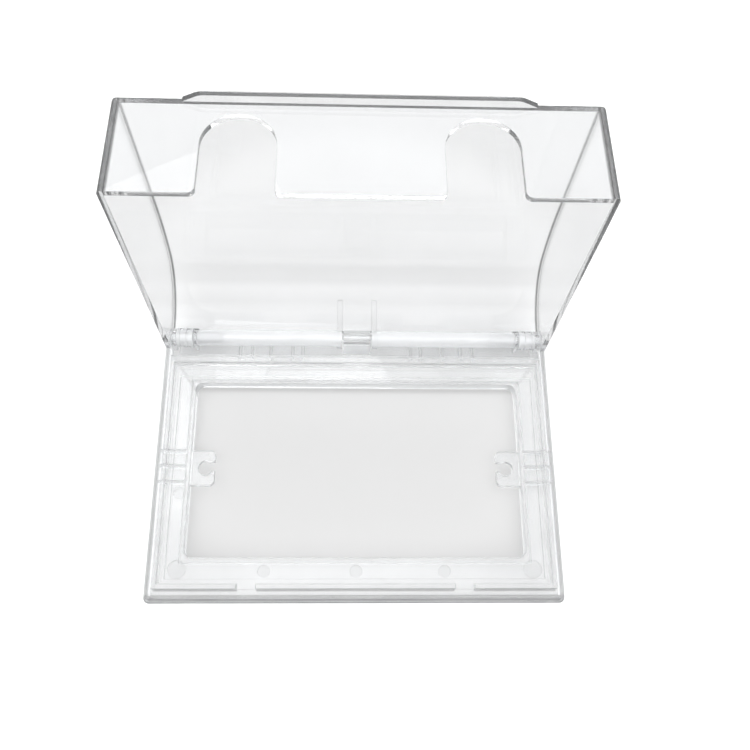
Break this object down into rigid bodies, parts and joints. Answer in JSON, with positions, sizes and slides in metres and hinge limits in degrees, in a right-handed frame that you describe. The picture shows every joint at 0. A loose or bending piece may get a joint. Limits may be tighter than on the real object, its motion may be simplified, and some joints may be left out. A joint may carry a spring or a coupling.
{
  "type": "socket splash cover",
  "caption": "Clear hinged splash cover for a double wall socket: mounting frame with a window and screw tabs, and a box lid with cable notches, shown open.",
  "frame": {"origin": "on the wall plane, midway between the two fixing screw holes", "axes": "+X along the hinge, +Y up the wall towards the hinge, +Z out of the wall"},
  "size_m": [0.162, 0.1455, 0.1138],
  "materials": {
    "clear_frame": "clear, glossy",
    "clear_lid": "clear, glossy",
    "clear_pin": "clear, glossy",
    "clear_sleeve": "clear, glossy"
  },
  "bodies": {
    "frame": {"mounting_frame": "clear_frame"},
    "lid": {"cover_lid": "clear_lid", "hinge_pin_left": "clear_pin", "hinge_pin_right": "clear_pin", "hinge_sleeve_left": "clear_sleeve", "hinge_sleeve_right": "clear_sleeve"}
  },
  "joints": [
    {"name": "lid_hinge", "type": "hinge", "parent": "frame", "child": "lid", "pos_m": [0, 0.0534, 0.0105], "axis": [1, 0, 0], "range_deg": [0, 94.2]}
  ]
}
